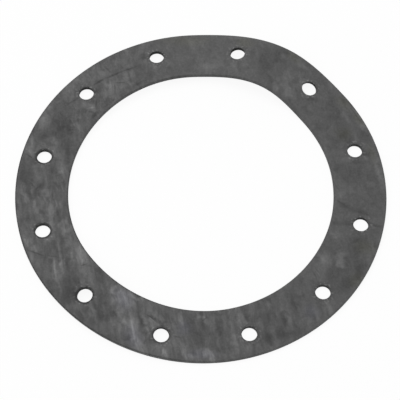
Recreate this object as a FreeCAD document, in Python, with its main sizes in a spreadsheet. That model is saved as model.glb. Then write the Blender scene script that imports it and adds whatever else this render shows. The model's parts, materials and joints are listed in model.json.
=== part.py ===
"""A round flange gasket, die-cut from soft sheet rubber, as it lies loose on a table.

The ring has an even row of bolt holes round a wide bore. Old sheet rubber doesn't lie flat: one steep ripple
crosses the ring, a long low swell holds up the inner edge beside it, and a small wave crosses the ring on the
other side. The rest of the ring lies flat.

Origin: the centre of the bore, on the plane that the flat stretch lies on. +Z is up, out of the flat face.
Angles run anticlockwise from +X, seen from above. Lengths are in millimetres and angles in degrees.
"""
import FreeCAD, Part
import math
import os

import Sketcher

SIZES = {
    "SheetThickness": 1.6,
    # how far the ring reaches out and in from the bolt circle: the rim is 137.5 across and the bore 98.4
    "BoltCircleDiameter": 120.65,
    "BoltCircleToRim": 8.425,
    "BoltCircleToBore": 11.125,
    "BoltHoleDiameter": 5.55,
    "BoltHoleCount": 12,
    "FirstHoleAngle": 17.4,
    # the steep ripple, which crosses the ring between two bolt holes
    "RippleAngle": 63.0,
    "RippleRise": 25.0,
    "RippleFall": 30.5,
    "RippleBoreHeight": 3.4,
    "RippleRimHeight": 3.7,
    # the long swell, which lifts the inner edge more than the rim
    "SwellAngle": 103.0,
    "SwellRise": 75.0,
    "SwellFall": 75.0,
    "SwellBoreHeight": 2.4,
    "SwellRimHeight": 0.45,
    # the small wave on the other side
    "WaveAngle": 224.5,
    "WaveRise": 30.0,
    "WaveFall": 58.0,
    "WaveBoreHeight": 2.7,
    "WaveRimHeight": 0.9,
}
LIFTS = ("Ripple", "Swell", "Wave")
RIM_RADIUS = "(Sizes.BoltCircleDiameter / 2 + Sizes.BoltCircleToRim)"
BORE_RADIUS = "(Sizes.BoltCircleDiameter / 2 - Sizes.BoltCircleToBore)"
# how far the uncut sheet reaches past the rim, and into the bore
TRIM = 3.0
# the most angle from one point of a lifted edge to the next, and the fewest steps that a curve takes
EDGE_STEP = 2.5
FEWEST_STEPS = 3
# the most angle that one lifted panel spans
LONGEST_PANEL = 40.0
UP = FreeCAD.Vector(0, 0, 1)


def make_sizes(document):
    """One cell for each driving size, named by its alias."""
    sheet = document.addObject("Spreadsheet::Sheet", "Sizes")
    for row, (name, value) in enumerate(SIZES.items(), start=1):
        sheet.set(f"A{row}", name)
        sheet.set(f"B{row}", str(value))
        sheet.setAlias(f"B{row}", name)
    document.recompute()
    return sheet


def add_sketch(body, name):
    """A sketch on the body's own XY plane."""
    sketch = body.newObject("Sketcher::SketchObject", name)
    plane = next(feature for feature in body.Origin.OriginFeatures if feature.Role == "XY_Plane")
    sketch.AttachmentSupport = [(plane, "")]
    sketch.MapMode = "FlatFace"
    return sketch


def rim_radius(sheet):
    """The value of RIM_RADIUS, for shapes that are made from points."""
    return sheet.BoltCircleDiameter / 2 + sheet.BoltCircleToRim


def bore_radius(sheet):
    """The value of BORE_RADIUS, for shapes that are made from points."""
    return sheet.BoltCircleDiameter / 2 - sheet.BoltCircleToBore


def add_circle(sketch, x, radius, expression):
    """A circle centred on the sketch's X axis, its radius bound to an expression of the sizes."""
    circle = sketch.addGeometry(Part.Circle(FreeCAD.Vector(x, 0, 0), UP, radius))
    constraint = sketch.addConstraint(Sketcher.Constraint("Radius", circle, radius))
    sketch.setExpression(f"Constraints[{constraint}]", expression)
    return circle


def make_blank(document, sheet):
    """The die's cut, taller than the rippled sheet: the rim, the bore and the row of bolt holes."""
    body = document.addObject("PartDesign::Body", "Blank")
    body.Label = "die cut"

    outline = add_sketch(body, "RingOutline")
    for radius, expression in ((rim_radius(sheet), RIM_RADIUS), (bore_radius(sheet), BORE_RADIUS)):
        circle = add_circle(outline, 0, radius, expression)
        outline.addConstraint(Sketcher.Constraint("Coincident", circle, 3, -1, 1))
    ring = body.newObject("PartDesign::Pad", "Ring")
    ring.Profile = outline
    ring.SideType = "Symmetric"
    heights = " + ".join(f"Sizes.{lift}{edge}Height" for lift in LIFTS for edge in ("Bore", "Rim"))
    ring.setExpression("Length", f"2 * (Sizes.SheetThickness + {heights})")

    hole_outline = add_sketch(body, "BoltHoleOutline")
    circle_radius = sheet.BoltCircleDiameter / 2
    hole = add_circle(hole_outline, circle_radius, sheet.BoltHoleDiameter / 2, "Sizes.BoltHoleDiameter / 2")
    hole_outline.addConstraint(Sketcher.Constraint("PointOnObject", hole, 3, -1))
    reach = hole_outline.addConstraint(Sketcher.Constraint("DistanceX", -1, 1, hole, 3, circle_radius))
    hole_outline.setExpression(f"Constraints[{reach}]", "Sizes.BoltCircleDiameter / 2")
    bolt_hole = body.newObject("PartDesign::Pocket", "BoltHole")
    bolt_hole.Profile = hole_outline
    bolt_hole.SideType = "Symmetric"
    bolt_hole.Type = "ThroughAll"

    bolt_holes = body.newObject("PartDesign::PolarPattern", "BoltHoles")
    bolt_holes.Originals = [bolt_hole]
    bolt_holes.Axis = (hole_outline, ["N_Axis"])
    bolt_holes.Angle = 360
    bolt_holes.setExpression("Occurrences", "Sizes.BoltHoleCount")
    body.Tip = bolt_holes

    body.Placement = FreeCAD.Placement(FreeCAD.Vector(), FreeCAD.Rotation(UP, sheet.FirstHoleAngle))
    body.setExpression("Placement.Rotation.Angle", "Sizes.FirstHoleAngle")
    return body


def half_wave(offset, rise, fall):
    """The share of a lift's height at an angle from its crest: a cosine, level at crest and feet."""
    share = offset / rise if offset < 0 else offset / fall
    return (1 + math.cos(math.pi * share)) / 2 if abs(share) < 1 else 0.0


def underside(sheet, angle, radius):
    """The point of the sheet's underside at an angle and a radius, on a straight line from bore to rim."""
    across = (radius - bore_radius(sheet)) / (rim_radius(sheet) - bore_radius(sheet))
    height = 0.0
    for lift in LIFTS:
        crest, rise, fall, at_bore, at_rim = (
            getattr(sheet, lift + size) for size in ("Angle", "Rise", "Fall", "BoreHeight", "RimHeight")
        )
        height += (at_bore + (at_rim - at_bore) * across) * half_wave(angle - crest, rise, fall)
    turn = math.radians(angle)
    return FreeCAD.Vector(radius * math.cos(turn), radius * math.sin(turn), height)


def lifted_angles(sheet):
    """The angles that part the lifted stretch into panels: every foot and crest, and some between."""
    marks = set()
    for lift in LIFTS:
        crest = getattr(sheet, lift + "Angle")
        marks |= {crest - getattr(sheet, lift + "Rise"), crest, crest + getattr(sheet, lift + "Fall")}
    marks = sorted(marks)
    angles = [marks[0]]
    for start, end in zip(marks, marks[1:]):
        parts = math.ceil((end - start) / LONGEST_PANEL)
        angles += [start + (end - start) * part / parts for part in range(1, parts + 1)]
    return angles


def lifted_edge(sheet, start, end, radius):
    """A smooth edge of one panel's underside."""
    steps = max(math.ceil((end - start) / EDGE_STEP), FEWEST_STEPS)
    angles = [start + (end - start) * step / steps for step in range(steps + 1)]
    curve = Part.BSplineCurve()
    curve.interpolate(
        Points=[underside(sheet, angle, radius) for angle in angles],
        Parameters=[math.radians(angle) for angle in angles],
    )
    return curve.toShape()


def make_panel(document, sheet, number, start, end):
    """One uncut panel of the lifted stretch: an underside ruled from bore to rim, and its thickness."""
    inner_edge = lifted_edge(sheet, start, end, bore_radius(sheet) - TRIM)
    outer_edge = lifted_edge(sheet, start, end, rim_radius(sheet) + TRIM)
    face = document.addObject("Part::Feature", f"PanelUnderside{number}")
    face.Shape = Part.makeRuledSurface(inner_edge, outer_edge)
    panel = document.addObject("Part::Extrusion", f"Panel{number}")
    panel.Label = f"lifted panel {number}"
    panel.Base = face
    panel.DirMode = "Custom"
    panel.Dir = UP
    panel.setExpression("LengthFwd", "Sizes.SheetThickness")
    return panel


def make_flat_stretch(document, last_foot):
    """The rest of the uncut sheet, from the last foot round to the first, which lies on the ground."""
    start = "min(" + "; ".join(f"Sizes.{lift}Angle - Sizes.{lift}Rise" for lift in LIFTS) + ")"
    end = "max(" + "; ".join(f"Sizes.{lift}Angle + Sizes.{lift}Fall" for lift in LIFTS) + ")"
    flat = document.addObject("Part::Cylinder", "FlatStretch")
    flat.Label = "flat stretch"
    flat.setExpression("Radius", f"{RIM_RADIUS} + {TRIM}")
    flat.setExpression("Height", "Sizes.SheetThickness")
    flat.setExpression("Angle", f"360 + {start} - {end}")
    flat.Placement = FreeCAD.Placement(FreeCAD.Vector(), FreeCAD.Rotation(UP, last_foot))
    flat.setExpression("Placement.Rotation.Angle", end)
    return flat


def cut_stretch(document, blank, stretch):
    """What the die leaves of one stretch of the sheet."""
    cut = document.addObject("Part::Common", f"Cut{stretch.Name}")
    cut.Base = blank
    cut.Tool = stretch
    cut.Refine = False
    return cut


def make_gasket(document):
    """The cut stretches, edge to edge. The rim, the bore and the holes stay upright and round throughout."""
    sheet = make_sizes(document)
    blank = make_blank(document, sheet)
    angles = lifted_angles(sheet)
    stretches = [make_flat_stretch(document, angles[-1])]
    for number, (start, end) in enumerate(zip(angles, angles[1:]), start=1):
        stretches.append(make_panel(document, sheet, number, start, end))
    gasket = document.addObject("Part::MultiFuse", "Gasket")
    gasket.Label = "gasket"
    gasket.Shapes = [cut_stretch(document, blank, stretch) for stretch in stretches]
    gasket.Refine = False
    gasket.Placement = FreeCAD.Placement()
    document.recompute()
    return gasket


def check(document, gasket):
    """Stop before anything is written if a feature failed or the gasket isn't one sound solid."""
    for item in document.Objects:
        if "Invalid" in item.State or "Error" in item.State:
            raise RuntimeError(f"{item.Name} failed: {item.State}")
    shape = gasket.Shape
    if shape.isNull() or not shape.isValid() or len(shape.Solids) != 1:
        raise RuntimeError("the gasket is not one valid solid")


document = FreeCAD.newDocument("FlangeGasket")
gasket = make_gasket(document)
check(document, gasket)
os.makedirs("parts", exist_ok=True)
gasket.Shape.exportStep(f"parts/{gasket.Label}.step")
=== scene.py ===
"""A loose flange gasket of dusty grey sheet rubber on a white table.

Lengths in the mesh and in the materials are in millimetres, measured from the centre of the bore, and
the objects themselves are in metres. Angles are in degrees, anticlockwise from +X, seen from above.
"""
import json
import math
from collections import namedtuple

import bmesh
import bpy
from mathutils import Matrix, Vector, noise


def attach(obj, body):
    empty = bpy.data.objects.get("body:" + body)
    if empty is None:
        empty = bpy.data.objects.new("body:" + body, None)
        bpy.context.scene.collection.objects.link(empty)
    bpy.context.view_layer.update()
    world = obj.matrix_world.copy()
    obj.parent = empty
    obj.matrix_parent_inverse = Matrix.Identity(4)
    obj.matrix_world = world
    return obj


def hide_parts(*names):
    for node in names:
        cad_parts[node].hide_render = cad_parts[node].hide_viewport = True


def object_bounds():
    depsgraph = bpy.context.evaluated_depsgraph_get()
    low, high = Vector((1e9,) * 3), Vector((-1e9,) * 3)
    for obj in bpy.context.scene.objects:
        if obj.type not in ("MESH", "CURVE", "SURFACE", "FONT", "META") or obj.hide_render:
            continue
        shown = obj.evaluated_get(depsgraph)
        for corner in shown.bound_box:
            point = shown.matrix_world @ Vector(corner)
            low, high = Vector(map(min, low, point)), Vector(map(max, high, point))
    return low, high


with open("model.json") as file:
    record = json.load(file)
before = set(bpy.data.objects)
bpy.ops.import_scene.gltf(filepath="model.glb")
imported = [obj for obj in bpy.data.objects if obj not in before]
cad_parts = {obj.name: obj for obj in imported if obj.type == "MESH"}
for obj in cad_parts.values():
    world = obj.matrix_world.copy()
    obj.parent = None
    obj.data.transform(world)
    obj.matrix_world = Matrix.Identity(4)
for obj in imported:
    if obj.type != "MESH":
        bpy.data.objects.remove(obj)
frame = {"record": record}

CAD_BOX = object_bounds()
MM = 0.001

# the ring, from the frame: its box and its bolt circle
RIM_RADIUS = (CAD_BOX[1].x - CAD_BOX[0].x) / 2 / MM
MOUNTS = {mount["name"]: mount for mount in frame["record"]["mounts"]}
BORE_RADIUS = MOUNTS["bore"]["dims"]["r_mm"]
BOLT_CIRCLE_RADIUS = MOUNTS["bolt_circle"]["dims"]["pcd_mm"] / 2
BOLT_HOLES = MOUNTS["bolt_circle"]["dims"]["count"]
BOLT_HOLE_RADIUS = MOUNTS["bolt_circle"]["dims"]["hole_r_mm"]
SHEET_THICKNESS = MOUNTS["top"]["pos_m"][2] / MM
FIRST_HOLE_ANGLE = 17.4
HOLE_PITCH = 360 / BOLT_HOLES

# what lifts the sheet off the table: the angle of its crest, its spread before and after the crest, and its
# height at the bore and at the rim
Lift = namedtuple("Lift", "crest rise fall bore_height rim_height")
STEEP_RIPPLE = Lift(63.0, 25.0, 30.5, 3.4, 3.7)
LONG_SWELL = Lift(103.0, 75.0, 75.0, 2.4, 0.45)
SMALL_WAVE = Lift(224.5, 30.0, 58.0, 2.7, 0.9)
LIFTS = (STEEP_RIPPLE, LONG_SWELL, SMALL_WAVE)

# the photograph's camera
IMAGE_PIXELS = 400
FOCAL_PIXELS = 1632.0
SENSOR_WIDTH = 36.0
CAMERA_ELEVATION = 61.65
CAMERA_ROLL = 1.01
CAMERA_DISTANCE = 603.6
CAMERA_AIM = Vector((-0.29, -3.81, 0.8))


def lift_height(angle, radius):
    """How far the sheet's underside is off the table at a place on the ring."""
    across = (radius - BORE_RADIUS) / (RIM_RADIUS - BORE_RADIUS)
    height = 0.0
    for lift in LIFTS:
        offset = (angle - lift.crest + 180) % 360 - 180
        share = offset / lift.rise if offset < 0 else offset / lift.fall
        if abs(share) < 1:
            crest_height = lift.bore_height + (lift.rim_height - lift.bore_height) * across
            height += crest_height * (1 + math.cos(math.pi * share)) / 2
    return height


def on_ring(angle, radius):
    """The point of the table under a place on the ring."""
    turn = math.radians(angle)
    return Vector((radius * math.cos(turn), radius * math.sin(turn), 0))


# The mesh. Each bolt hole has a patch of its own, which reaches half-way to its neighbours, and to the rim
# and the bore. Its cells grow from the hole outwards.
PATCH_ARC_CELLS = 22
PATCH_RADIAL_CELLS = 14
PATCH_RINGS = 9
PATCH_GROWTH = 1.25
# two points of the plan are one if they are the same to so many decimal places
PLAN_DIGITS = 4
# a die leaves a cut wall a little hollow
WALL_ROWS = 4
WALL_HOLLOW = 0.05
# the calender leaves the top a little uneven
UNEVEN_DEPTH = 0.07
UNEVEN_LENGTH = 14.0
# how far to each side of a point its slope is measured
SLOPE_STEP = 0.1
# the rounding of the cut edges: how wide it is, in how many facets, and the bend from which an edge gets it
EDGE_ROUNDING = 0.12
EDGE_FACETS = 3
EDGE_BEND = 50.0
# how near to the rim or the bore a vertex is that belongs to its wall
WALL_REACH = 0.1


def patch_outline(hole_angle):
    """The points round one hole's patch, anticlockwise from the corner at the rim with the lower angle."""
    low, high = hole_angle - HOLE_PITCH / 2, hole_angle + HOLE_PITCH / 2
    points = [on_ring(low + HOLE_PITCH * i / PATCH_ARC_CELLS, RIM_RADIUS) for i in range(PATCH_ARC_CELLS)]
    width = RIM_RADIUS - BORE_RADIUS
    points += [on_ring(high, RIM_RADIUS - width * i / PATCH_RADIAL_CELLS) for i in range(PATCH_RADIAL_CELLS)]
    points += [on_ring(high - HOLE_PITCH * i / PATCH_ARC_CELLS, BORE_RADIUS) for i in range(PATCH_ARC_CELLS)]
    points += [on_ring(low, BORE_RADIUS + width * i / PATCH_RADIAL_CELLS) for i in range(PATCH_RADIAL_CELLS)]
    return points


def hole_outline(centre, outline):
    """As many points round the hole as round its patch, between even steps and straight lines of sight."""
    count = len(outline)
    first = (outline[0] - centre).to_2d()
    start = math.atan2(first.y, first.x)
    points = []
    for i, point in enumerate(outline):
        sight = (point - centre).to_2d()
        seen = (math.atan2(sight.y, sight.x) - start) % math.tau
        even = math.tau * i / count
        turn = start + (seen + even) / 2
        points.append(centre + BOLT_HOLE_RADIUS * Vector((math.cos(turn), math.sin(turn), 0)))
    return points


def underside_height(point):
    """The height of the sheet's underside over a point of the table."""
    angle = math.degrees(math.atan2(point.y, point.x)) % 360
    return lift_height(angle, point.to_2d().length)


def sheet_slope(point):
    """How much the sheet rises per millimetre along X and along Y."""
    slope = Vector((0, 0, 0))
    for axis, step in enumerate((Vector((SLOPE_STEP, 0, 0)), Vector((0, SLOPE_STEP, 0)))):
        rise = underside_height(point + step) - underside_height(point - step)
        slope[axis] = rise / (2 * SLOPE_STEP)
    return slope


def sheet_vertex(point, upper):
    """Where the top or the underside has the vertex that belongs to a point of the flat ring's plan."""
    if upper:
        dip = (1 + noise.noise(point / UNEVEN_LENGTH)) / 2
        height = underside_height(point) + SHEET_THICKNESS - UNEVEN_DEPTH * dip
        return Vector((point.x, point.y, height))
    # straight through the sheet, so that the cut walls stand square to it where it is lifted
    place = point + SHEET_THICKNESS * sheet_slope(point)
    return Vector((place.x, place.y, underside_height(place)))


def add_face_sheet(mesh, upper):
    """The sheet's top or underside, as a grid of patches. Returns the vertices by their place in plan."""
    vertices = {}

    def vertex(point):
        key = (round(point.x, PLAN_DIGITS), round(point.y, PLAN_DIGITS))
        if key not in vertices:
            vertices[key] = mesh.verts.new(sheet_vertex(point, upper))
        return vertices[key]

    for number in range(BOLT_HOLES):
        angle = FIRST_HOLE_ANGLE + HOLE_PITCH * number
        centre = on_ring(angle, BOLT_CIRCLE_RADIUS)
        outline = patch_outline(angle)
        hole = hole_outline(centre, outline)
        rings = []
        for ring in range(PATCH_RINGS + 1):
            share = (ring / PATCH_RINGS) ** PATCH_GROWTH
            rings.append([vertex(near.lerp(far, share)) for near, far in zip(hole, outline)])
        for inner, outer in zip(rings, rings[1:]):
            for i in range(len(inner)):
                after = (i + 1) % len(inner)
                corners = [inner[i], outer[i], outer[after], inner[after]]
                mesh.faces.new(corners if upper else reversed(corners))
    return vertices


def wall_point(upper, lower, outward, share):
    """A point of a cut wall, part of the way down, pulled in from the straight line by the hollow."""
    hollow = WALL_HOLLOW * math.sin(math.pi * share)
    return upper.lerp(lower, share) - outward * hollow


def outward_at(point):
    """The way out of the rubber at a point of a cut wall."""
    radius = point.to_2d().length
    radial = Vector((point.x, point.y, 0)).normalized()
    if abs(radius - RIM_RADIUS) < WALL_REACH:
        return radial
    if abs(radius - BORE_RADIUS) < WALL_REACH:
        return -radial
    angle = math.degrees(math.atan2(point.y, point.x))
    number = round((angle - FIRST_HOLE_ANGLE) / HOLE_PITCH)
    centre = on_ring(FIRST_HOLE_ANGLE + HOLE_PITCH * number, BOLT_CIRCLE_RADIUS)
    return (centre - Vector((point.x, point.y, 0))).normalized()


def add_walls(mesh, top, underside):
    """The cut walls, which join the open edges of the top and the underside, one above the other."""
    place_of = {vertex: key for key, vertex in top.items()}
    columns = {}

    def column(vertex):
        if vertex not in columns:
            lower = underside[place_of[vertex]]
            outward = outward_at(vertex.co)
            between = [
                mesh.verts.new(wall_point(vertex.co, lower.co, outward, row / WALL_ROWS))
                for row in range(1, WALL_ROWS)
            ]
            columns[vertex] = [vertex, *between, lower]
        return columns[vertex]

    open_edges = [edge for edge in mesh.edges if edge.is_boundary and edge.verts[0] in place_of]
    for edge in open_edges:
        loop = edge.link_loops[0]
        start, end = column(loop.vert), column(loop.link_loop_next.vert)
        for row in range(WALL_ROWS):
            mesh.faces.new((end[row], start[row], start[row + 1], end[row + 1]))


def make_gasket(material):
    """The ring as one closed mesh: patched top and underside, cut walls, and edges a little rounded."""
    mesh = bmesh.new()
    top = add_face_sheet(mesh, upper=True)
    underside = add_face_sheet(mesh, upper=False)
    add_walls(mesh, top, underside)
    bmesh.ops.scale(mesh, vec=(MM, MM, MM), verts=mesh.verts)
    for face in mesh.faces:
        face.smooth = True
    data = bpy.data.meshes.new("rubber_sheet")
    mesh.to_mesh(data)
    mesh.free()
    data.materials.append(material)
    gasket = bpy.data.objects.new("rubber_sheet", data)
    bpy.context.scene.collection.objects.link(gasket)

    rounding = gasket.modifiers.new("rounded cut edges", "BEVEL")
    rounding.width = EDGE_ROUNDING * MM
    rounding.segments = EDGE_FACETS
    rounding.limit_method = "ANGLE"
    rounding.angle_limit = math.radians(EDGE_BEND)
    rounding.harden_normals = True
    return gasket


# how one value goes from low to high, in a smooth step, as another goes from start to end
Ramp = namedtuple("Ramp", "start end low high")


class Graph:
    """A node tree, with a short call for each kind of node."""

    def __init__(self, tree):
        self.tree = tree
        tree.nodes.clear()

    def node(self, kind, values=None, **settings):
        node = self.tree.nodes.new(kind)
        for name, value in settings.items():
            setattr(node, name, value)
        for name, value in (values or {}).items():
            self.feed(node.inputs[name], value)
        return node

    def feed(self, socket, value):
        if isinstance(value, bpy.types.NodeSocket):
            self.tree.links.new(value, socket)
        else:
            socket.default_value = value

    def math(self, operation, *values, clamp=False):
        node = self.node("ShaderNodeMath", operation=operation, use_clamp=clamp)
        for socket, value in zip(node.inputs, values):
            self.feed(socket, value)
        return node.outputs["Value"]

    def vector(self, operation, *values, output="Vector"):
        node = self.node("ShaderNodeVectorMath", operation=operation)
        for socket, value in zip(node.inputs, values):
            self.feed(socket, value)
        return node.outputs[output]

    def ramp(self, value, ramp):
        node = self.node("ShaderNodeMapRange", interpolation_type="SMOOTHSTEP")
        for socket, number in zip(node.inputs, (value, *ramp)):
            self.feed(socket, number)
        return node.outputs["Result"]

    def turn_back(self, place, angle):
        """A place turned about Z by an angle, clockwise."""
        values = {"Vector": place, "Angle": angle}
        node = self.node("ShaderNodeVectorRotate", values, rotation_type="Z_AXIS", invert=True)
        return node.outputs["Vector"]

    def noise(self, place, size, detail=3.0, roughness=0.5, swirl=0.0, output="Fac"):
        """Smooth noise, whose largest lumps are about a size across."""
        values = {
            "Vector": place,
            "Scale": 1 / size,
            "Detail": detail,
            "Roughness": roughness,
            "Distortion": swirl,
        }
        return self.node("ShaderNodeTexNoise", values).outputs[output]


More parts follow.
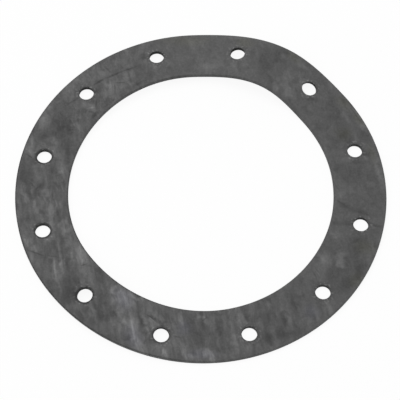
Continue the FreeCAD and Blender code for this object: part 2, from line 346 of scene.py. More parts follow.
# Where handling and storage have marked the sheet, and at the end broad stretches of painted light and
# shade: the mark's centre, its whole length and width, the way that it runs, and how much lighter it is than
# the sheet round it, in hundredths of full white. A negative one is darker.
Mark = namedtuple("Mark", "x y length width lean tone")
MARKS_AND_BROAD_PAINTED_LIGHT = (
    # at the left, going round from the far side
    Mark(-29.3, 48, 6, 4, -80, 8),
    Mark(-27.2, 49.8, 6, 2.5, -80, 8),
    Mark(-34.5, 43, 12, 8, 60, 7),
    Mark(-36.3, 44.5, 6, 3, -75, 6),
    Mark(-31, 43, 6, 4, -75, 4),
    Mark(-21, 50.5, 10, 8, -60, -5),
    Mark(-25, 44.5, 10, 4, 30, -8),
    Mark(-28.2, 47.2, 7, 2, -60, -7),
    Mark(-33.8, 39, 3.5, 3, 0, 6),
    Mark(-30, 60.3, 4, 2.5, -50, -7),
    Mark(-35.8, 37.3, 9, 4, 55, -6),
    Mark(-40.2, 42.3, 6, 4, 60, -9),
    Mark(-37.5, 51, 18, 7, 35, 6),
    Mark(-41.3, 52.5, 6, 4, 60, 4),
    Mark(-44.3, 49, 6, 3, -80, 4),
    Mark(-44.5, 35, 7, 4, -80, 8),
    Mark(-40.3, 31, 6, 3, 60, -10),
    Mark(-40.3, 29.8, 5, 2, -55, -6),
    Mark(-52, 42, 11, 6, -60, 5),
    Mark(-48, 33, 8, 4, -80, 8),
    Mark(-49.2, 28.2, 4, 3, -30, -8),
    Mark(-47.2, 32, 3.5, 3, -60, -9),
    Mark(-49.3, 38.8, 4, 3, 60, 6),
    Mark(-46.7, 26, 7, 4, -60, 9),
    Mark(-49.5, 24.5, 10, 3.5, -80, -8),
    Mark(-41.8, 34.5, 6, 4, -60, 7),
    Mark(-58.5, 34.5, 7, 4, 60, 5),
    Mark(-59.3, 28.5, 9, 6, 70, 8),
    Mark(-64, 19.7, 7, 3, -75, 8),
    Mark(-59.5, 22, 11, 5, 20, -8),
    Mark(-55, 17.8, 8, 4, -80, 8),
    Mark(-55, 27.5, 16, 12, -60, -4),
    Mark(-53, 22, 14, 6, -75, -4),
    Mark(-50, 16, 16, 4, -90, -8),
    Mark(-56, 22.5, 6, 3, -80, -5),
    Mark(-47, 22.8, 7, 4, 0, -4),
    Mark(-64, 15.8, 9, 4, -75, 10),
    Mark(-54, 13, 8, 4, -50, 8),
    Mark(-51.3, 11, 5, 3, -60, -5),
    Mark(-52, 8, 8, 5, -60, 10),
    Mark(-55.5, 7, 7, 3, -70, -7),
    Mark(-59, 1, 6, 4, -70, -6),
    Mark(-53.3, 1.5, 6, 3, -60, -9),
    Mark(-67, 2, 8, 3, -85, -5),
    Mark(-60.5, 9.7, 6, 3, 0, 7),
    Mark(-65, 4, 12, 8, -75, -11),
    Mark(-63.3, 8, 6, 2.5, -70, -5),
    Mark(-66.3, 0.8, 5, 2.5, -60, 6),
    Mark(-56, 2.5, 12, 4, -60, -4),
    Mark(-57.5, -2.5, 7, 5, -70, 9),
    Mark(-24, 63, 8, 4, 30, 4),
    Mark(-23, 57.5, 5, 4, -80, -7),
    Mark(-24, 53, 7, 5, -70, -4),
    Mark(-38.6, 51.3, 5, 2.5, -70, -6),
    Mark(-28.6, 53, 5, 4, 0, 5),
    Mark(-4, 62, 8, 4, -60, 5),
    Mark(-18, 53, 7, 3, 10, 6),
    # at the left, nearer
    Mark(-60.5, -2, 6, 3, -65, -5),
    Mark(-63.3, -2.5, 7, 3, -65, -9),
    Mark(-60.6, -6.5, 5, 2.5, -85, 6),
    Mark(-64.7, -4.5, 9, 2.5, -65, 9),
    Mark(-61, -7, 8, 2, -85, 4),
    Mark(-67, -7.5, 9, 3, -80, 8),
    Mark(-65.5, -14.5, 7, 3, -75, -7),
    Mark(-63.5, -13, 8, 4, -85, -8),
    Mark(-57.5, -5, 9, 3, -85, 5),
    Mark(-58.5, -11.3, 6, 3, -75, -7),
    Mark(-53.5, -7.5, 9, 2.5, -85, 7),
    Mark(-50.3, 1.5, 6, 2, -88, -9),
    Mark(-52, -7, 6, 4, -85, 6),
    Mark(-55, -11, 15, 4, -80, 10),
    Mark(-60, -11, 10, 3, -75, 6),
    Mark(-52, -13, 7, 4, -80, -3),
    Mark(-49.5, -14, 5, 4, -60, 8),
    Mark(-48.8, -17.8, 6, 2.5, -50, 7),
    Mark(-51.6, -15.8, 5, 2.5, 60, 6),
    Mark(-47.5, -17.5, 7, 4, -75, 8),
    Mark(-54.5, -21, 5, 4, 30, 9),
    Mark(-50, -22, 9, 3, -80, -9),
    Mark(-62.8, -22.8, 9, 4, -70, 11),
    Mark(-59.7, -26, 5, 4, -70, 10),
    Mark(-61, -29, 8, 4, -60, 4),
    Mark(-52.5, -25.5, 9, 3, -68, -8),
    Mark(-51.6, -30, 8, 2.2, -70, -7),
    Mark(-54, -29.3, 5, 2, -80, 6),
    Mark(-51.9, -35.5, 16, 2.4, -75, 10),
    Mark(-54.5, -27, 12, 3, -85, -5),
    Mark(-56, -29.5, 5, 2.5, -75, -5),
    Mark(-57.8, -32, 12, 5, -60, 1),
    Mark(-49.3, -33, 13, 3, -75, 10),
    Mark(-49.3, -29.5, 7, 2.5, -75, 5),
    Mark(-50.3, -37.2, 5, 3, 0, 5),
    Mark(-52.2, -41.7, 5, 3.5, -50, 5),
    Mark(-47.2, -32.3, 9, 3, -70, -9),
    Mark(-46.3, -28, 9, 3, -65, 9),
    Mark(-47.5, -22.5, 7, 3, -80, 4),
    Mark(-47.8, -26.7, 5, 3, -50, -6),
    Mark(-44.4, -31, 6, 2.5, -80, 5),
    Mark(-44, -38.5, 7, 3, -60, -5),
    Mark(-47.3, -38, 12, 5, -80, -6),
    Mark(-46.3, -45, 12, 7, -80, -10),
    Mark(-44.4, -43.5, 9, 3, -85, -9),
    Mark(-51.5, -43.5, 18, 5, -52, -7),
    Mark(-43.5, -27.5, 15, 6, -60, 13),
    Mark(-42, -33.5, 7, 2.5, -80, -6),
    Mark(-41.5, -34.3, 12, 5, -65, 10),
    Mark(-37, -40.5, 8, 4, -60, 7),
    Mark(-36, -35.5, 7, 3, -50, -8),
    Mark(-34.5, -46, 20, 6, -70, -7),
    Mark(-38.2, -50.4, 8, 3.5, -80, 11),
    Mark(-34.3, -52.8, 6, 2.5, -80, -8),
    Mark(-36, -50.5, 11, 2.5, -75, -8),
    Mark(-32.3, -53, 6, 3, -70, -7),
    Mark(-41.5, -53, 10, 3, -42, -6),
    Mark(-31.3, -42, 8, 4, -60, 10),
    Mark(-29.8, -40.8, 4.5, 3.5, 30, 10),
    Mark(-30, -45.5, 7, 4, -80, 7),
    Mark(-32.5, -47.5, 5, 3, -60, -6),
    Mark(-33.4, -50.2, 6, 2.2, -80, 5),
    Mark(-31, -51.7, 4, 2.5, -80, -6),
    Mark(-28.9, -51.5, 6, 2, -80, 5),
    Mark(-45, -48.5, 6, 4, -45, 4),
    # at the near side, going right
    Mark(-27, -46, 14, 7, -80, 11),
    Mark(-24.5, -47, 8, 4, -60, 10),
    Mark(-23.5, -44.5, 9, 3, -25, 11),
    Mark(-19, -46.8, 4, 3, -20, -6),
    Mark(-26.8, -52.5, 5, 3, -60, -8),
    Mark(-20.5, -46.5, 8, 4, -20, 9),
    Mark(-28.5, -56.5, 9, 5, -80, 8),
    Mark(-30.5, -60, 8, 4, -30, -6),
    Mark(-25.5, -54.5, 12, 4, -40, 8),
    Mark(-22, -61.5, 11, 3, -75, 11),
    Mark(-24.7, -60.5, 6, 3, 0, -6),
    Mark(-23.7, -60.8, 4, 3, -30, -5),
    Mark(-19.5, -64.5, 8, 5, -65, 10),
    Mark(-28.3, -51, 7, 4, -75, 7),
    Mark(-20.6, -54, 14, 4, -76, -15),
    Mark(-17.4, -56.5, 4, 2.5, -70, 6),
    Mark(-16.3, -53.4, 3.5, 2.5, -30, -5),
    Mark(-14.7, -52, 6, 3, -55, 6),
    Mark(-10.5, -52, 6, 4, -60, -6),
    Mark(-6.7, -52, 9, 2.5, -85, 10),
    Mark(-19, -54, 6, 3, -50, 8),
    Mark(-17.3, -52.5, 7, 3, -55, -7),
    Mark(-16, -61, 5, 3, -40, -9),
    Mark(-1.5, -57.5, 9, 4, -80, -5),
    Mark(0.5, -51.7, 6, 4, 10, 9),
    Mark(0.5, -61, 9, 6, -80, -5),
    Mark(-5, -64.3, 8, 4, -65, 10),
    Mark(-12.3, -65.3, 7, 5, -60, 14),
    Mark(-12.5, -54.4, 7, 3, 0, -8),
    Mark(-3, -67, 7, 4, 0, 9),
    Mark(2.3, -52.5, 8, 4, -75, 8),
    Mark(7, -55, 13, 3, -88, -8),
    Mark(2.3, -57, 8, 4, -80, -5),
    Mark(1.8, -63.8, 4, 3, 0, 5),
    Mark(6.8, -50, 4, 2, 0, -6),
    Mark(11.3, -51.5, 4, 2.5, -80, -6),
    Mark(3.8, -66, 8, 4, -60, 16),
    Mark(7.8, -63.5, 5, 4, -60, -7),
    Mark(11, -62.8, 6, 3, -75, -8),
    Mark(13, -59, 4, 3, 0, 7),
    Mark(11.5, -54.5, 7, 5, -60, 5),
    Mark(14, -62.5, 6, 4, -60, 6),
    Mark(15.2, -51.5, 9, 3, -80, 10),
    Mark(12.3, -52, 8, 2.5, -80, 7),
    Mark(9, -53, 9, 2.5, -80, 5),
    Mark(18.7, -47.5, 6, 3, -80, 5),
    Mark(14.5, -53.5, 6, 4, -60, 7),
    Mark(17.3, -51, 5, 3, -80, -7),
    Mark(17.5, -62.3, 5, 4, -80, 5),
    Mark(25, -59.8, 8, 5, -60, -11),
    Mark(32.6, -52.3, 8, 2.5, -70, 9),
    Mark(30.6, -53, 9, 2.5, -70, -8),
    Mark(29.9, -49, 4, 2.5, -80, -7),
    Mark(29.5, -47, 8, 5, -60, 5),
    Mark(25.5, -50.3, 8, 4, -80, -7),
    Mark(27.8, -50.5, 6, 2.5, -85, 6),
    Mark(23.5, -44.5, 9, 3, 25, -7),
    Mark(25.2, -44.6, 4, 2.5, -80, -6),
    Mark(21.3, -46.6, 4, 3, -60, -6),
    Mark(33.5, -53.5, 7, 5, -60, -8),
    Mark(22.5, -54, 8, 5, -70, 5),
    Mark(29.5, -58.5, 9, 8, -80, -9),
    Mark(22, -63.5, 8, 3, -80, 5),
    Mark(34, -45, 14, 3.5, -88, -4),
    Mark(28, -61, 5, 4, -60, 3),
    Mark(34.5, -57.5, 9, 5, 35, -8),
    Mark(36.3, -51.5, 5, 3, -70, -4),
    Mark(38.5, -52.5, 6, 4, 55, 3),
    Mark(36.5, -42.5, 5, 3, 0, -5),
    Mark(42, -49.5, 9, 4, -70, 5),
    # at the right, going away
    Mark(36.8, -37, 7, 4, -60, -4),
    Mark(42.3, -32.8, 7, 4, -60, -5),
    Mark(43.6, -27.3, 6, 4, -60, 6),
    Mark(43, -33.5, 11, 8, -65, 8),
    Mark(46, -28.5, 11, 7, -85, 12),
    Mark(46.9, -27.4, 4, 2.5, -70, -5),
    Mark(48.6, -18.3, 5, 2.5, -60, 6),
    Mark(51, -28.7, 7, 5, -60, 12),
    Mark(51.3, -25.8, 7, 4, 20, 12),
    Mark(51.5, -31, 6, 3, -20, 6),
    Mark(46.5, -47.3, 7, 4, -60, 5),
    Mark(57, -25, 10, 4, -80, -5),
    Mark(57.5, -34, 8, 5, 55, -6),
    Mark(58.5, -30, 10, 5, 60, -8),
    Mark(59.3, -28.7, 5, 4, 30, 5),
    Mark(58.8, -22.6, 5, 3, -70, -4),
    Mark(53.5, -37.5, 12, 7, 60, -5),
    Mark(50.5, -18, 8, 5, -80, 4),
    Mark(50.2, -24.1, 4, 3, 0, 6),
    Mark(50, -12.5, 5, 3, -30, -6),
    Mark(54, -12.5, 6, 5, 0, -5),
    Mark(63, -17.5, 9, 5, -80, -4),
    Mark(61, -22, 10, 6, -60, -3),
    Mark(56.5, -20, 6, 4, 0, -7),
    Mark(64.5, -22, 8, 3, -70, -6),
    Mark(53.5, -6.3, 9, 3.5, -30, -6),
    Mark(52, -0.3, 8, 6, 0, 5),
    Mark(59.5, -8.3, 9, 4, -20, -9),
    Mark(60, -5.5, 4, 3, 60, -5),
    Mark(55.5, 0.8, 5, 4, 0, 5),
    Mark(63, 3.5, 5, 5, 0, 4),
    Mark(66.3, 11.5, 5, 2, -75, -6),
    Mark(64.3, -13.2, 7, 2.2, -20, -8),
    Mark(66.2, 10, 24, 4, -80, 8),
    Mark(55, 8, 10, 14, -85, -3),
    Mark(50.5, 10, 5, 4, -70, -6),
    Mark(58, 13, 6, 3, 0, -5),
    Mark(61.3, 15.5, 4, 2.5, -40, 7),
    Mark(55, 14, 4, 8, -85, 5),
    Mark(50.5, 20.5, 9, 7, -80, -4),
    Mark(52.4, 21.6, 4, 5, 0, 5),
    Mark(47.8, 18.8, 6, 3, -75, -5),
    Mark(53.5, 24, 11, 9, -80, -7),
    Mark(56.5, 22, 6, 4, 0, -3),
    Mark(61.7, 17, 5, 3, -80, -6),
    Mark(61, 25, 12, 6, -65, -6),
    Mark(61, 28.8, 5, 3, -60, 7),
    Mark(40, 36, 8, 4, -70, -4),
    Mark(45, 28, 10, 5, -30, -5),
    Mark(41.5, 40.7, 7, 3, 0, -7),
    Mark(47.5, 34, 14, 8, -70, -4),
    Mark(47.4, 34.2, 5, 4, 0, 5),
    Mark(51.8, 33.5, 7, 3, -80, -5),
    Mark(49.5, 39, 12, 5, -85, -4),
    Mark(54, 40.5, 7, 4, -50, -7),
    Mark(48.8, 46.7, 7, 4, -50, 3),
    Mark(54.8, 32.3, 10, 3, -65, 6),
    Mark(32.3, 42.8, 10, 6, -50, 9),
    Mark(24, 53, 8, 6, -40, -3),
    Mark(32.3, 48, 7, 6, -80, 6),
    Mark(28.3, 46, 7, 3, 60, 5),
    Mark(28.3, 42.6, 5, 4, 45, 7),
    Mark(35.5, 47.5, 4, 3, -80, -7),
    Mark(34.2, 46.8, 4, 3, -60, -4),
    Mark(38, 54, 8, 4, -40, 7),
    Mark(23.5, 53, 18, 8, -88, -5),
    Mark(39, 48.5, 5, 3, 0, -6),
    Mark(31.8, 59.2, 7, 4, -30, -6),
    Mark(28, 56.5, 17, 8, -35, -5),
    Mark(27.7, 54.4, 5, 3, -20, -5),
    Mark(30.2, 56.9, 5, 3, -20, 5),
    Mark(25.9, 47, 6, 3, -80, -5),
    Mark(22, 56.5, 6, 4, 30, -3),
    Mark(6, 55, 10, 5, -85, 3),
    Mark(13, 66.5, 14, 3, -10, 5),
    Mark(8.3, 52.8, 8, 4, -60, 4),
    Mark(11.8, 52.5, 8, 3.5, -80, 8),
    Mark(15.5, 53.5, 4, 4, -80, 5),
    Mark(17.6, 51.2, 4, 3, 0, -5),
    Mark(2, 52.5, 12, 6, -10, 6),
    Mark(-12.5, 52, 5, 3, -80, -4),
    Mark(-1, 58.5, 12, 7, 80, 3),
    Mark(-4.5, 65, 7, 5, 0, 4),
    # broad stretches of painted light and shade: darker over the right side, lighter or darker in places
    # elsewhere
    Mark(61, 8, 52, 24, 90, -3),
    Mark(50, -30, 46, 22, 59, -5),
    Mark(-50, 30, 42, 22, 59, -3),
    Mark(-46, 39, 16, 16, 0, 3),
    Mark(53, 31, 18, 16, 0, -3),
    Mark(-9, -54, 9, 8, -75, 4),
    Mark(-18, -57, 34, 24, -18, 6),
    Mark(22, -56, 20, 22, 20, -3),
    Mark(38, 46, 10, 20, 50, 5),
)

# full white, in the marks' own measure of tone
FULL_WHITE = 100
# a mark reaches this far in Z, so that the tone that is carried there leaves its outline alone
BEYOND_ANY_TONE = 10000.0


def make_smudge_group():
    """A node group that adds one soft oval mark. It takes and gives a place whose Z is the tone so far."""
    group = bpy.data.node_groups.new("smudge", "ShaderNodeTree")
    for name, kind in (
        ("Toned place", "NodeSocketVector"),
        ("Centre", "NodeSocketVector"),
        ("Reach", "NodeSocketVector"),
        ("Lean", "NodeSocketFloat"),
        ("Change", "NodeSocketVector"),
    ):
        group.interface.new_socket(name, in_out="INPUT", socket_type=kind)
    group.interface.new_socket("Toned place", in_out="OUTPUT", socket_type="NodeSocketVector")

    graph = Graph(group)
    given = graph.node("NodeGroupInput").outputs
    offset = graph.vector("SUBTRACT", given["Toned place"], given["Centre"])
    turned = graph.turn_back(offset, given["Lean"])
    share = graph.vector("DIVIDE", turned, given["Reach"])
    squared = graph.vector("DOT_PRODUCT", share, share, output="Value")
    inside = graph.math("SUBTRACT", 1.0, squared, clamp=True)
    soft = graph.math("MULTIPLY", inside, inside)
    toned = graph.vector("MULTIPLY_ADD", soft, given["Change"], given["Toned place"])
    result = graph.node("NodeGroupOutput")
    graph.feed(result.inputs["Toned place"], toned)
    return group


def add_marks(graph, place, marks, group, tone=0.0):
    """A tone with each mark added to it in turn."""
    toned = graph.vector("ADD", place, graph.node("ShaderNodeCombineXYZ", {"Z": tone}).outputs["Vector"])
    for mark in marks:
        values = {
            "Toned place": toned,
            "Centre": (mark.x, mark.y, 0),
            "Reach": (mark.length / 2, mark.width / 2, BEYOND_ANY_TONE),
            "Lean": math.radians(mark.lean),
            "Change": (0, 0, mark.tone / FULL_WHITE),
        }
        toned = graph.node("ShaderNodeGroup", values, node_tree=group).outputs["Toned place"]
    return graph.node("ShaderNodeSeparateXYZ", {"Vector": toned}).outputs["Z"]


# Thin creases and scuffs, drawn with the same kind of mark: a crease is painted shade beside a painted
# highlight, a dark line and a light one side by side, with no crease in the mesh. These are straight
# stretches, end to end.
CREASE_SHADE_AND_SCUFFS = (
    Mark(-39.5, 46.3, 9, 1.6, 38, -9),
    Mark(-34, 49.2, 10, 1.4, 27, -10),
    Mark(-28.5, 51.8, 8, 1.3, 22, -9),
    Mark(-37, 52, 6, 1.3, -47, -7),
    Mark(-50, 36.8, 9, 1.3, 36, -7),
    Mark(-40.4, 36.3, 7, 1.1, -88, -7),
    Mark(-38.8, 36.6, 6, 1.0, -88, 6),
    Mark(-48.7, 27.5, 5, 1.0, -60, 7),
    Mark(-47.2, 29, 6, 1.0, -75, -6),
    Mark(-49.5, 24.6, 4, 1.0, 0, -4),
    Mark(-42.5, 34.2, 5, 1.1, 10, 6),
    Mark(-42, 32.4, 6, 1.1, -20, -6),
    Mark(-31.8, 45.5, 6, 0.9, 0, -6),
    Mark(-35.2, 44.2, 6, 0.9, -80, 6),
    Mark(-33.6, 43.2, 6, 0.9, -84, -6),
    Mark(-64.3, 13, 5.5, 1.0, -35, -8),
    Mark(-53.5, 11.8, 4.5, 0.7, 8, -5),
    Mark(-52.4, 5.4, 5, 0.7, 14, -5),
    Mark(-52.8, 2, 5, 0.7, 6, -4),
    Mark(-62.6, 1, 4, 1.0, -50, -7),
    Mark(-60.3, -0.2, 4, 1.0, 50, -6),
    Mark(-54.9, -4, 10, 0.8, -88, -5),
    Mark(-53.8, -12.5, 8, 0.8, -88, -6),
    Mark(-52.5, -10.5, 5, 1.6, -85, -7),
    Mark(-59.5, -27.3, 8, 0.9, -22, -9),
    Mark(-53.5, -28.8, 6, 0.9, -10, -6),
    Mark(-41.8, -32.6, 3.5, 0.9, 15, -8),
    Mark(-52.2, -33.5, 13, 1.1, -80, 8),
    Mark(-49.6, -28.5, 15, 1.2, -83, -6),
    Mark(-50.9, -27.5, 14, 1.1, -83, 5),
    Mark(-23.3, -56.5, 17, 1.4, -79, 9),
    Mark(-16.5, -53.4, 6, 0.8, -38, 7),
    Mark(-17.5, -52.3, 6, 0.8, -35, -7),
    Mark(-7.5, -59.4, 5, 0.8, -15, -6),
    Mark(2, -52.5, 4, 0.9, 40, -7),
    Mark(52, -4.5, 7, 1.2, -35, -5),
    Mark(42.5, -33, 6, 0.9, -60, 5),
    Mark(41.5, -34, 6, 0.9, -60, -5),
    Mark(58.5, 33.5, 12, 0.7, -58, -6),
    Mark(59.6, 33.2, 9, 0.6, -58, 6),
    Mark(57, 37.5, 7, 0.7, -54, -5),
    Mark(61.5, 29.5, 6, 0.6, -60, 6),
)

# where the grey leans to olive, or to blue if the tone is negative
TINTS = (
    Mark(-7, 65.5, 26, 7, 0, 1.3),
    Mark(16, 64, 12, 6, -15, 1.3),
    Mark(35, 57, 9, 6, -40, 1.3),
    Mark(54, 39, 12, 7, -55, 1.3),
    Mark(59.5, 32, 10, 5, -60, 1.3),
    Mark(53.5, 25, 9, 9, 0, 1.3),
    Mark(64, 17, 12, 5, -75, 1.3),
    Mark(60, -22.5, 12, 9, 0, 1.3),
    Mark(56.5, -36, 10, 8, 55, 1.3),
    Mark(-27, -46, 14, 10, -60, -1.3),
    Mark(-23, -60, 14, 9, -60, -1.3),
    Mark(-5, -56, 9, 8, 0, -1.3),
    Mark(1, -66, 16, 6, 0, -1.3),
    Mark(40, -48.5, 9, 9, 0, -1.3),
)

# The bloom's own patterns: how large the lumps are, how much finer detail they have, how rough and how
# swirled it is, and how far the pattern can change the tone, as a share of full white.
Pattern = namedtuple("Pattern", "size detail roughness swirl strength")
FINE_STREAKS = Pattern(1.4, 3.0, 0.6, 0.0, 0.15)
BROAD_STREAKS = Pattern(3.0, 3.0, 0.55, 0.0, 0.16)
MOTTLE = Pattern(2.2, 3.0, 0.6, 1.0, 0.24)
CLOUDS = Pattern(7.0, 4.0, 0.6, 0.0, 0.13)
GRAIN = Pattern(0.8, 2.0, 0.5, 0.0, 0.085)
# the way that the calender's streaks run, and how long they and the mottle's lumps are for their width
STREAK_LEAN = -80.0
STREAK_STRETCH = 4.0
MOTTLE_STRETCH = 1.8

# what moves a place about a little before something is drawn there: how large its waves are, and how wide
# the move is
Bend = namedtuple("Bend", "size reach")
PATTERN_BEND = Bend(5.0, 3.0)
MARK_BEND = Bend(3.5, 4.0)
CREASE_BEND = Bend(3.0, 0.8)

# the streaks show best towards the near left, and the mottle shows where they don't
STREAKY_WAY = (-0.5, -0.866, 0.0)
STREAKINESS = Ramp(-5.0, 25.0, 0.3, 1.0)
STREAKS_AND_MOTTLE = 1.2
# the whole bloom is strongest at the left, and so are the dark line along the rim and the bore and the
# painted shade round a bolt hole
LEFT_WAY = (-0.866, -0.5, 0.0)
HANDLING = Ramp(-30.0, 15.0, 0.6, 1.15)
EDGE_DARKENING = Ramp(20.0, 55.0, 0.2, 1.0)

SHEET_TONE = 0.328
TONE_GAMMA = 2.2
TINT_LEANS = {"Red": 0.33, "Green": 0.33, "Blue": -0.67}
# dust takes half of the gloss that bare rubber has, and makes the sheet rougher where it is thick
DUSTY_GLOSS = 0.25
ROUGHNESS = 0.66
DUST_ROUGHNESS = 0.6
RELIEF_STRENGTH = 0.5
RELIEF_DEPTH = 0.1
# how strong the marks are for their tones, and how streaky inside
MARK_STRENGTH = 0.9
MARK_STREAKS = 8.0
# where a face stands so steep that it is a cut wall, by how far up its normal points
STEEP_FACE = Ramp(0.35, 0.75, 1.0, 0.0)
# how much of the sheet's tone a cut wall keeps: little in a bolt hole, where the loss is painted shade, most
# of it at the rim and the bore
WALL_TONE_AND_HOLE_SHADE = Ramp(0.2, 0.5, 0.38, 0.97)
# a thin dark line along the rim and the bore, and a wider band of painted shade on the top round a bolt hole
EDGE_LINE = Ramp(0.0, 0.6, -0.13, 0.0)
HOLE_SHADE_LINE = Ramp(0.0, 1.1, -0.18, 0.0)
# light crumbs of rubber, where the noise is high and a bolt hole is near
CRUMB_SIZE = 0.8
CRUMB_NOISE = Ramp(0.6, 0.7, 0.0, 1.0)
CRUMB_TONE = Ramp(0.2, 2.4, 0.10, 0.0)


def add_pattern(graph, place, pattern, tone=0.0):
    """A tone with one of the bloom's patterns added to it."""
    lumps = graph.noise(place, pattern.size, pattern.detail, pattern.roughness, pattern.swirl)
    return graph.math("MULTIPLY_ADD", graph.math("SUBTRACT", lumps, 0.5), pattern.strength, tone)


def bend_place(graph, place, bend):
    """A place moved about a little, so that what is drawn there has no clean outline."""
    shift = graph.noise(place, bend.size, output="Color")
    shift = graph.vector("SUBTRACT", shift, (0.5, 0.5, 0.5))
    shift = graph.vector("MULTIPLY", shift, (bend.reach, bend.reach, 0.0))
    return graph.vector("ADD", place, shift)


def hole_distance(graph, place):
    """How far a place is from the middle of the nearest bolt hole."""
    parts = graph.node("ShaderNodeSeparateXYZ", {"Vector": place}).outputs
    angle = graph.math("ARCTAN2", parts["Y"], parts["X"])
    pitch = math.radians(HOLE_PITCH)
    past_first = graph.math("SUBTRACT", angle, math.radians(FIRST_HOLE_ANGLE))
    past_nearest = graph.math("WRAP", past_first, pitch / 2, -pitch / 2)
    radius = graph.vector("LENGTH", place, output="Value")
    radial = graph.math("MULTIPLY", radius, graph.math("COSINE", past_nearest))
    radial = graph.math("SUBTRACT", radial, BOLT_CIRCLE_RADIUS)
    sideways = graph.math("MULTIPLY", radius, graph.math("SINE", past_nearest))
    offset = graph.node("ShaderNodeCombineXYZ", {"X": radial, "Y": sideways}).outputs["Vector"]
    return graph.vector("LENGTH", offset, output="Value")


def add_bloom_and_painted_light(graph, place, smudge):
    """The bloom's tone with the marks and scuffs, broad painted light and shade and painted crease shading,
    lighter or darker than the bare sheet, its fine streaks, and the bent place.
    """
    bent = bend_place(graph, place, PATTERN_BEND)
    # along the streaks on one axis and across them on the other
    turned = graph.turn_back(bent, math.radians(STREAK_LEAN))
    along = graph.vector("MULTIPLY", turned, (1 / STREAK_STRETCH, 1, 1))
    drawn = graph.vector("MULTIPLY", turned, (1 / MOTTLE_STRETCH, 1, 1))
    fine_streaks = add_pattern(graph, along, FINE_STREAKS)
    streaks = add_pattern(graph, along, BROAD_STREAKS, fine_streaks)
    mottle = add_pattern(graph, drawn, MOTTLE)

    streaky = graph.ramp(graph.vector("DOT_PRODUCT", place, STREAKY_WAY, output="Value"), STREAKINESS)
    mottled = graph.math("SUBTRACT", STREAKS_AND_MOTTLE, streaky)
    bloom_and_painted_light = graph.math("MULTIPLY", streaks, streaky)
    bloom_and_painted_light = graph.math("MULTIPLY_ADD", mottle, mottled, bloom_and_painted_light)
    handled = graph.ramp(graph.vector("DOT_PRODUCT", place, LEFT_WAY, output="Value"), HANDLING)
    bloom_and_painted_light = add_pattern(graph, place, CLOUDS, bloom_and_painted_light)
    bloom_and_painted_light = graph.math("MULTIPLY", bloom_and_painted_light, handled)
    bloom_and_painted_light = add_pattern(graph, place, GRAIN, bloom_and_painted_light)

    # the marks, with the broad painted light and shade among them, are streaky inside too
    marks = add_marks(graph, bend_place(graph, place, MARK_BEND), MARKS_AND_BROAD_PAINTED_LIGHT, smudge)
    uneven = graph.math("MULTIPLY_ADD", fine_streaks, MARK_STREAKS, MARK_STRENGTH)
    bloom_and_painted_light = graph.math("MULTIPLY_ADD", marks, uneven, bloom_and_painted_light)
    # thin dark and light lines: painted shade and painted highlight along creases that the mesh does not
    # have, and scuffs
    bloom_and_painted_light = add_marks(graph, bend_place(graph, place, CREASE_BEND), CREASE_SHADE_AND_SCUFFS, smudge, bloom_and_painted_light)
    return bloom_and_painted_light, fine_streaks, bent


def add_cut_edges_and_hole_shade(graph, place, normal, tone):
    """A tone darkened along the cut edges and on the cut walls, with painted shade on the bolt holes' walls
    and round their edges, and crumbs round the bolt holes.
    """
    radius = graph.vector("LENGTH", place, output="Value")
    from_rim = graph.math("SUBTRACT", RIM_RADIUS, radius)
    from_bore = graph.math("SUBTRACT", radius, BORE_RADIUS)
    edge_line = graph.ramp(graph.math("MINIMUM", from_rim, from_bore), EDGE_LINE)
    edge_darkening = graph.ramp(graph.vector("DOT_PRODUCT", place, LEFT_WAY, output="Value"), EDGE_DARKENING)
    upright = graph.node("ShaderNodeSeparateXYZ", {"Vector": normal}).outputs["Z"]
    wall = graph.ramp(graph.math("ABSOLUTE", upright), STEEP_FACE)
    on_top = graph.math("SUBTRACT", 1.0, wall)
    tone = graph.math("MULTIPLY_ADD", edge_line, graph.math("MULTIPLY", edge_darkening, on_top), tone)

    from_hole = graph.math("SUBTRACT", hole_distance(graph, place), BOLT_HOLE_RADIUS)
    # painted shade on the top next to a bolt hole's edge
    painted_hole_shade = graph.ramp(from_hole, HOLE_SHADE_LINE)
    tone = graph.math("MULTIPLY_ADD", painted_hole_shade, edge_darkening, tone)
    crumbs = graph.ramp(graph.noise(place, CRUMB_SIZE, detail=0.0), CRUMB_NOISE)
    near_hole = graph.ramp(from_hole, CRUMB_TONE)
    tone = graph.math("MULTIPLY_ADD", crumbs, near_hole, tone)

    # a cut wall at the rim or the bore is a little darker, as it has no bloom, and a bolt hole's wall is
    # much darker, which is painted shade inside the hole
    kept_past_hole_shade = graph.ramp(from_hole, WALL_TONE_AND_HOLE_SHADE)
    lost_to_wall_and_hole_shade = graph.math("MULTIPLY", wall, graph.math("SUBTRACT", 1.0, kept_past_hole_shade))
    return graph.math("MULTIPLY", tone, graph.math("SUBTRACT", 1.0, lost_to_wall_and_hole_shade))


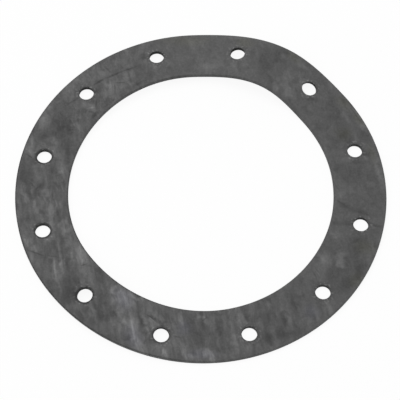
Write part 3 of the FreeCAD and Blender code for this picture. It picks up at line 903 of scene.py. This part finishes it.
def make_rubber():
    """Dark grey sheet rubber with a cloudy, streaky bloom and scuffs, broad stretches of painted light and
    shade, painted shade and highlights along creases, darker along its cut edges, and painted shade in and
    round the bolt holes.
    """
    material = bpy.data.materials.new("dusty rubber")
    material.use_nodes = True
    graph = Graph(material.node_tree)
    smudge = make_smudge_group()

    source = graph.node("ShaderNodeTexCoord").outputs
    in_millimetres = graph.vector("SCALE", source["Object"])
    in_millimetres.node.inputs["Scale"].default_value = 1 / MM
    place = graph.vector("MULTIPLY", in_millimetres, (1, 1, 0))

    bloom_and_painted_light, fine_streaks, bent = add_bloom_and_painted_light(graph, place, smudge)
    tone = add_cut_edges_and_hole_shade(graph, place, source["Normal"], graph.math("ADD", bloom_and_painted_light, SHEET_TONE))

    tint = add_marks(graph, bent, TINTS, smudge)
    channels = {}
    for name, lean in TINT_LEANS.items():
        channels[name] = graph.math("POWER", graph.math("MULTIPLY_ADD", tint, lean, tone), TONE_GAMMA)
    colour = graph.node("ShaderNodeCombineColor", channels).outputs["Color"]

    roughness = graph.math("MULTIPLY_ADD", bloom_and_painted_light, DUST_ROUGHNESS, ROUGHNESS)
    relief = add_pattern(graph, place, GRAIN, fine_streaks)
    values = {"Height": relief, "Strength": RELIEF_STRENGTH, "Distance": RELIEF_DEPTH * MM}
    bump = graph.node("ShaderNodeBump", values)
    values = {
        "Base Color": colour,
        "Roughness": roughness,
        "Specular IOR Level": DUSTY_GLOSS,
        "Normal": bump.outputs["Normal"],
    }
    shader = graph.node("ShaderNodeBsdfPrincipled", values)
    graph.node("ShaderNodeOutputMaterial", {"Surface": shader.outputs["BSDF"]})
    return material


WHITE = (1, 1, 1, 1)
PAPER = (0.95, 0.95, 0.95, 1)
# how far the table reaches, in metres, and the share of plain white that the camera sees on it
TABLE_REACH = 2.0
TABLE_WHITE = 0.92
# how strong the even light from all round is
ROOM_LIGHT = 0.55
# soft lamps that face the gasket: where each is and how wide, in metres, and its power, in watts
Softbox = namedtuple("Softbox", "name place width power")
SOFTBOXES = (
    Softbox("overhead", (-0.3, 0.5, 1.2), 0.9, 7.0),
    Softbox("left", (-1.1, -0.1, 0.9), 0.7, 3.0),
)


def seen_as_background(graph):
    """One where a surface itself is seen, also in gloss or through glass, and zero where it gives light."""
    ray = graph.node("ShaderNodeLightPath").outputs
    seen = graph.math("MAXIMUM", ray["Is Camera Ray"], ray["Is Glossy Ray"])
    return graph.math("MAXIMUM", seen, ray["Is Transmission Ray"])


def make_floor_material():
    """White paper. The camera sees it near full white, with the object's shadow left on it."""
    material = bpy.data.materials.new("white table")
    material.use_nodes = True
    graph = Graph(material.node_tree)
    paper = graph.node("ShaderNodeBsdfDiffuse", {"Color": PAPER})
    white = graph.node("ShaderNodeEmission", {"Color": WHITE, "Strength": 1.0})
    share = graph.math("MULTIPLY", seen_as_background(graph), TABLE_WHITE)
    values = {0: share, 1: paper.outputs["BSDF"], 2: white.outputs["Emission"]}
    surface = graph.node("ShaderNodeMixShader", values)
    graph.node("ShaderNodeOutputMaterial", {"Surface": surface.outputs["Shader"]})
    return material


def make_floor(material):
    """The table that the gasket lies on, far wider than any view."""
    corners = [(TABLE_REACH * x, TABLE_REACH * y, 0) for x, y in ((-1, -1), (1, -1), (1, 1), (-1, 1))]
    data = bpy.data.meshes.new("table")
    data.from_pydata(corners, [], [(0, 1, 2, 3)])
    data.materials.append(material)
    floor = bpy.data.objects.new("table", data)
    bpy.context.scene.collection.objects.link(floor)


def add_softbox(name, place, width, power):
    """A square lamp that faces the gasket."""
    lamp = bpy.data.lights.new(name, "AREA")
    lamp.size = width
    lamp.energy = power
    softbox = bpy.data.objects.new(name, lamp)
    softbox.location = place
    softbox.rotation_mode = "QUATERNION"
    softbox.rotation_quaternion = Vector(place).to_track_quat("Z", "Y")
    bpy.context.scene.collection.objects.link(softbox)


def light_scene():
    """Even light from all round, with soft lamps overhead, and white behind everything."""
    world = bpy.data.worlds.new("white room")
    bpy.context.scene.world = world
    world.use_nodes = True
    graph = Graph(world.node_tree)
    strength = graph.math("MAXIMUM", seen_as_background(graph), ROOM_LIGHT)
    room = graph.node("ShaderNodeBackground", {"Color": WHITE, "Strength": strength})
    graph.node("ShaderNodeOutputWorld", {"Surface": room.outputs["Background"]})
    for softbox in SOFTBOXES:
        add_softbox(*softbox)


def make_camera():
    """The photograph's camera: above the near side, aimed at the ring."""
    elevation, roll = math.radians(CAMERA_ELEVATION), math.radians(CAMERA_ROLL)
    back = Vector((0, -math.cos(elevation), math.sin(elevation)))
    right = Vector((1, 0, 0))
    up = back.cross(right)
    across = right * math.cos(roll) + up * math.sin(roll)
    upward = up * math.cos(roll) - right * math.sin(roll)
    data = bpy.data.cameras.new("camera")
    data.sensor_width = SENSOR_WIDTH
    data.lens = SENSOR_WIDTH * FOCAL_PIXELS / IMAGE_PIXELS
    camera = bpy.data.objects.new("camera", data)
    turn = Matrix((across, upward, back)).transposed().to_4x4()
    camera.matrix_world = Matrix.Translation((CAMERA_AIM + back * CAMERA_DISTANCE) * MM) @ turn
    bpy.context.scene.collection.objects.link(camera)
    bpy.context.scene.camera = camera


rubber_sheet = make_gasket(make_rubber())
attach(rubber_sheet, "root")
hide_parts("gasket")
make_floor(make_floor_material())
light_scene()
make_camera()
bpy.context.scene.view_settings.view_transform = "Standard"

bpy.context.view_layer.update()
